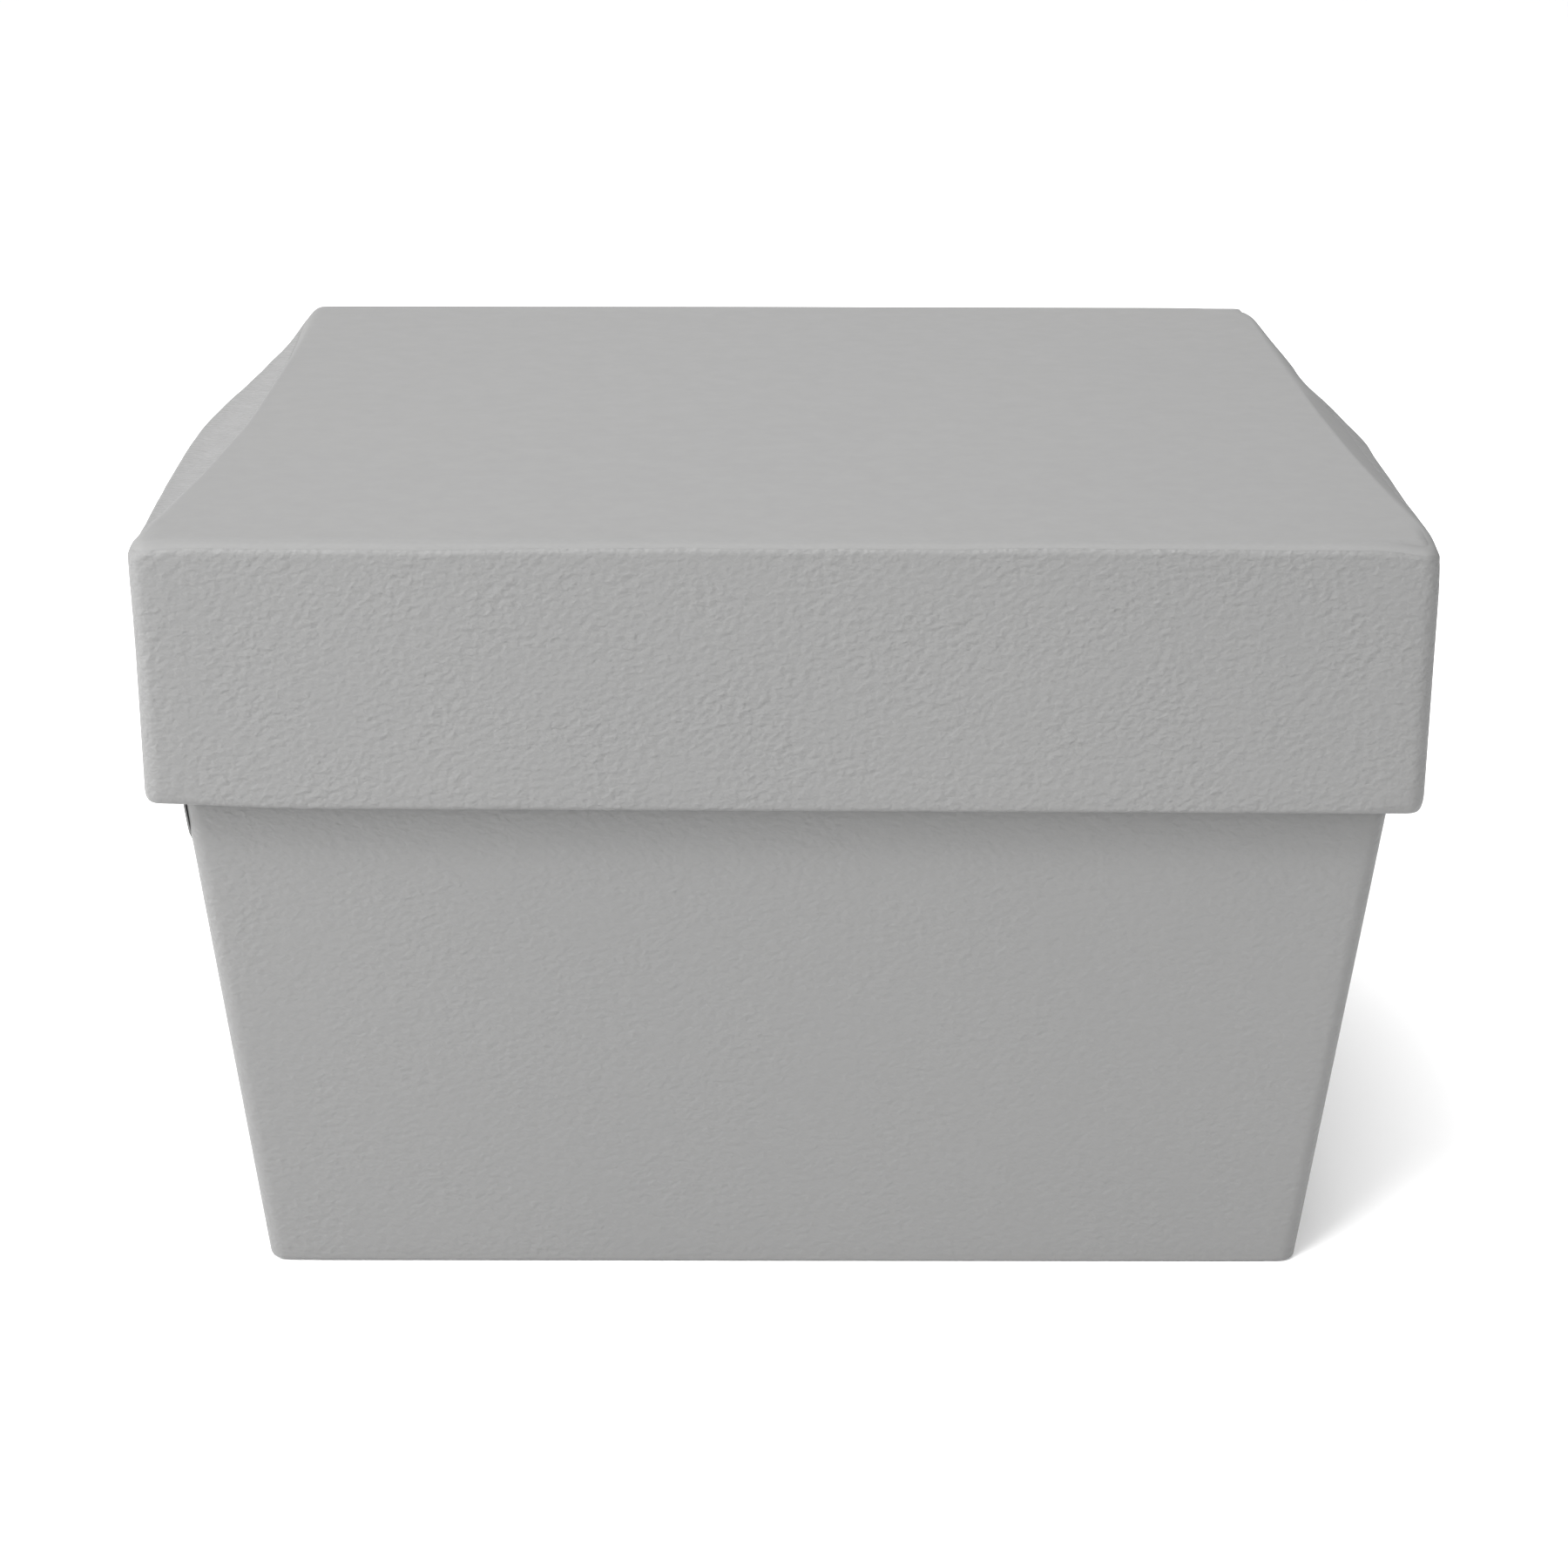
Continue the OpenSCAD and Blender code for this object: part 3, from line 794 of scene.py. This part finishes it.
def fibre_material(name, col, spread, scale, bump_mm, rough, flecks=0.0):
    """Paper or board: fibres seen as stretched noise, with flecks where asked."""
    m, nt, bsdf = new_mat(name)
    L = nt.links.new
    tc = N(nt, "ShaderNodeTexCoord")
    mp = N(nt, "ShaderNodeMapping")
    mp.inputs["Scale"].default_value = (1.0, 0.35, 1.0)
    L(tc.outputs["Object"], mp.inputs["Vector"])
    n1 = N(nt, "ShaderNodeTexNoise")
    n1.inputs["Scale"].default_value = scale
    n1.inputs["Detail"].default_value = 4.0
    L(mp.outputs["Vector"], n1.inputs["Vector"])
    n2 = N(nt, "ShaderNodeTexNoise")
    n2.inputs["Scale"].default_value = 9.0
    L(tc.outputs["Object"], n2.inputs["Vector"])
    ramp = N(nt, "ShaderNodeValToRGB")
    ramp.color_ramp.elements[0].position = 0.3
    ramp.color_ramp.elements[1].position = 0.7
    ramp.color_ramp.elements[0].color = tuple(c * (1 - spread) for c in col) + (1,)
    ramp.color_ramp.elements[1].color = tuple(min(1, c * (1 + spread)) for c in col) + (1,)
    s = N(nt, "ShaderNodeMath", operation="MULTIPLY_ADD")
    s.inputs[1].default_value = 0.4
    L(n2.outputs["Fac"], s.inputs[0])
    half_n = N(nt, "ShaderNodeMath", operation="MULTIPLY")
    half_n.inputs[1].default_value = 0.6
    L(n1.outputs["Fac"], half_n.inputs[0])
    L(half_n.outputs[0], s.inputs[2])
    L(s.outputs[0], ramp.inputs["Fac"])
    if flecks:
        v = N(nt, "ShaderNodeTexVoronoi", feature="F1")
        v.inputs["Scale"].default_value = 240.0
        L(mp.outputs["Vector"], v.inputs["Vector"])
        lt = N(nt, "ShaderNodeMapRange")
        lt.inputs["From Min"].default_value = 0.04
        lt.inputs["From Max"].default_value = 0.16
        lt.inputs["To Min"].default_value = 1 - flecks
        lt.inputs["To Max"].default_value = 1.0
        L(v.outputs["Distance"], lt.inputs["Value"])
        mul = N(nt, "ShaderNodeVectorMath", operation="SCALE")
        L(ramp.outputs["Color"], mul.inputs[0])
        L(lt.outputs["Result"], mul.inputs["Scale"])
        L(mul.outputs["Vector"], bsdf.inputs["Base Color"])
    else:
        L(ramp.outputs["Color"], bsdf.inputs["Base Color"])
    bump = N(nt, "ShaderNodeBump")
    bump.inputs["Distance"].default_value = bump_mm * MM
    bump.inputs["Strength"].default_value = 1.0
    L(n1.outputs["Fac"], bump.inputs["Height"])
    L(bump.outputs["Normal"], bsdf.inputs["Normal"])
    rr = N(nt, "ShaderNodeMapRange")
    rr.inputs["To Min"].default_value = rough - 0.05
    rr.inputs["To Max"].default_value = min(1.0, rough + 0.05)
    L(n1.outputs["Fac"], rr.inputs["Value"])
    L(rr.outputs["Result"], bsdf.inputs["Roughness"])
    return m


TONE = 0.120
# the top cover is the same grained paper as the skirt; its tone is raised by 1.155 as painted light on the upward
# face
M_TOP_PAINTED_LIGHT = grain_material("grained_paper_top_painted_light", TONE * 1.155, 0.004, mottle=0.004, rough=0.74, spec=0.12)
M_SKIRT = grain_material("grained_paper_skirt", TONE, 0.52)
M_TRAY = grain_material("grained_paper_tray", TONE, 0.36, fade=0.6)
M_BOARD = fibre_material("greyboard", (0.17, 0.148, 0.12), 0.12, 260.0, 0.05, 0.9, flecks=0.25)
M_STAY = fibre_material("stay_paper", (0.32, 0.27, 0.20), 0.06, 300.0, 0.02, 0.85)
M_LINING = fibre_material("lining_paper", (0.42, 0.40, 0.36), 0.025, 420.0, 0.02, 0.8)
M_SHEET = fibre_material("foot_sheet_paper", (0.17, 0.17, 0.165), 0.04, 380.0, 0.03, 0.85)


def paint(ob, mat):
    if ob.data.materials:
        for i in range(len(ob.data.materials)):
            ob.data.materials[i] = mat
    else:
        ob.data.materials.append(mat)


paint(lid_top, M_TOP_PAINTED_LIGHT)
paint(lid_skirt, M_SKIRT)
for o in (tray_front, tray_right, tray_back, tray_left):
    paint(o, M_TRAY)
for o in lid_boards:
    paint(o, M_BOARD)
for o in lid_stays:
    paint(o, M_STAY)
paint(skirt_lining, M_LINING)
paint(lid_lining_top, M_LINING)
for n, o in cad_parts.items():
    if "lining" in n:
        paint(o, M_LINING)
    elif "stays" in n:
        paint(o, M_STAY)
    elif "sheet" in n:
        paint(o, M_SHEET)
    elif "board" in n:
        paint(o, M_BOARD)
    elif n == "lid_top_cover":
        paint(o, M_TOP_PAINTED_LIGHT)
    elif n == "lid_skirt_cover":
        paint(o, M_SKIRT)
    else:
        paint(o, M_TRAY)

# ---------------------------------------------------------------- camera
FWD = Vector((0.00540381, 0.946997, -0.32119695)).normalized()
RIGHT = Vector((0.99998372, -0.00452902, 0.00347063)).normalized()
RIGHT = (RIGHT - FWD * RIGHT.dot(FWD)).normalized()
UP = RIGHT.cross(FWD).normalized()
cam = bpy.data.cameras.new("camera")
cam.sensor_width = 36.0
cam.lens = 71.392
cam.clip_start = 0.05
cam.clip_end = 60.0
cam_ob = bpy.data.objects.new("camera", cam)
bpy.context.scene.collection.objects.link(cam_ob)
m = Matrix((
    (RIGHT.x, UP.x, -FWD.x, -4.63 * MM),
    (RIGHT.y, UP.y, -FWD.y, -923.19 * MM),
    (RIGHT.z, UP.z, -FWD.z, 403.76 * MM),
    (0, 0, 0, 1),
))
cam_ob.matrix_world = m
bpy.context.scene.camera = cam_ob

# ---------------------------------------------------------------- floor, light
fl = bpy.data.meshes.new("floor")
S, K = 24.0, 12
fv = [(-S + 2 * S * i / K, -S + 2 * S * j / K, 0.0) for j in range(K + 1) for i in range(K + 1)]
ff = [(j * (K + 1) + i, j * (K + 1) + i + 1, (j + 1) * (K + 1) + i + 1, (j + 1) * (K + 1) + i) for j in range(K) for i in range(K)]
fl.from_pydata(fv, [], ff)
floor = bpy.data.objects.new("floor", fl)
bpy.context.scene.collection.objects.link(floor)
fm, fnt, fb = new_mat("pale_floor")
fn = N(fnt, "ShaderNodeTexNoise")
fn.inputs["Scale"].default_value = 2.0
ftc = N(fnt, "ShaderNodeTexCoord")
fnt.links.new(ftc.outputs["Object"], fn.inputs["Vector"])
fr = N(fnt, "ShaderNodeValToRGB")
fr.color_ramp.elements[0].color = (0.885, 0.885, 0.885, 1)
fr.color_ramp.elements[1].color = (0.9, 0.9, 0.9, 1)
fnt.links.new(fn.outputs["Fac"], fr.inputs["Fac"])
fnt.links.new(fr.outputs["Color"], fb.inputs["Base Color"])
fb.inputs["Roughness"].default_value = 0.95
fb.inputs["Specular IOR Level"].default_value = 0.1
fl.materials.append(fm)


LOBES = [(0, 18, 0.74), (90, 18, 1.66), (135, 18, 0.57), (180, 18, 1.42), (225, 18, 2.31), (270, 18, 1.74), (315, 18, 1.92), (225, 52, 0.98), (315, 52, 0.92), (0, 90, 0.19)]
AREAS = [
    ("top_front_small", (-0.5, -1.2, 2.1), 0.5, 0.5, 32.0),
    ("key_left_high", (-1.5, -1.3, 1.8), 0.7, 0.7, 44.5),
    ("left_low", (-1.7, -1.0, 0.45), 0.8, 0.8, 20.0),
    ("overhead_small", (0.0, -0.5, 2.2), 0.8, 0.8, 17.4),
    ("left_side_low", (-1.6, 0.1, 0.4), 0.8, 0.8, 7.7),
    ("back_high", (0.0, 1.6, 1.4), 1.2, 0.8, 19.3),
]


def area(name, loc, target, size, power, size_y=None, spread=None):
    l = bpy.data.lights.new(name, "AREA")
    l.energy = power
    l.shape = "RECTANGLE" if size_y else "SQUARE"
    l.size = size
    if size_y:
        l.size_y = size_y
    if spread:
        l.spread = math.radians(spread)
    o = bpy.data.objects.new(name, l)
    bpy.context.scene.collection.objects.link(o)
    o.location = loc
    d = Vector(target) - Vector(loc)
    o.rotation_euler = d.to_track_quat("-Z", "Y").to_euler()
    return o


for name, loc, sx, sy, watts in AREAS:
    area(name, loc, (0.0, 0.0, 0.1), sx, watts, size_y=sy)

# the room's soft light: broad lobes, each (azimuth, height, strength)
world = bpy.data.worlds.new("world")
bpy.context.scene.world = world
world.use_nodes = True
wn = world.node_tree
wn.nodes.clear()
wo = wn.nodes.new("ShaderNodeOutputWorld")
bg = wn.nodes.new("ShaderNodeBackground")
wn.links.new(bg.outputs["Background"], wo.inputs["Surface"])
wtc = wn.nodes.new("ShaderNodeTexCoord")
total = None
for az, el, strength in LOBES:
    a, e = math.radians(az), math.radians(el)
    dot = N(wn, "ShaderNodeVectorMath", operation="DOT_PRODUCT")
    dot.inputs[1].default_value = (math.cos(a) * math.cos(e), math.sin(a) * math.cos(e), math.sin(e))
    wn.links.new(wtc.outputs["Generated"], dot.inputs[0])
    mx = N(wn, "ShaderNodeMath", operation="MAXIMUM")
    mx.inputs[1].default_value = 0.0
    wn.links.new(dot.outputs["Value"], mx.inputs[0])
    pw = N(wn, "ShaderNodeMath", operation="POWER")
    pw.inputs[1].default_value = 6.0
    wn.links.new(mx.outputs[0], pw.inputs[0])
    mu = N(wn, "ShaderNodeMath", operation="MULTIPLY_ADD")
    mu.inputs[1].default_value = strength
    mu.inputs[2].default_value = 0.0
    wn.links.new(pw.outputs[0], mu.inputs[0])
    if total is not None:
        wn.links.new(total, mu.inputs[2])
    total = mu.outputs[0]
wn.links.new(total, bg.inputs["Strength"])
bg.inputs["Color"].default_value = (0.8, 0.8, 0.8, 1)

sc = bpy.context.scene
sc.view_settings.view_transform = "Standard"
sc.view_settings.look = "None"
sc.view_settings.exposure = 0.0
sc.view_settings.gamma = 1.0
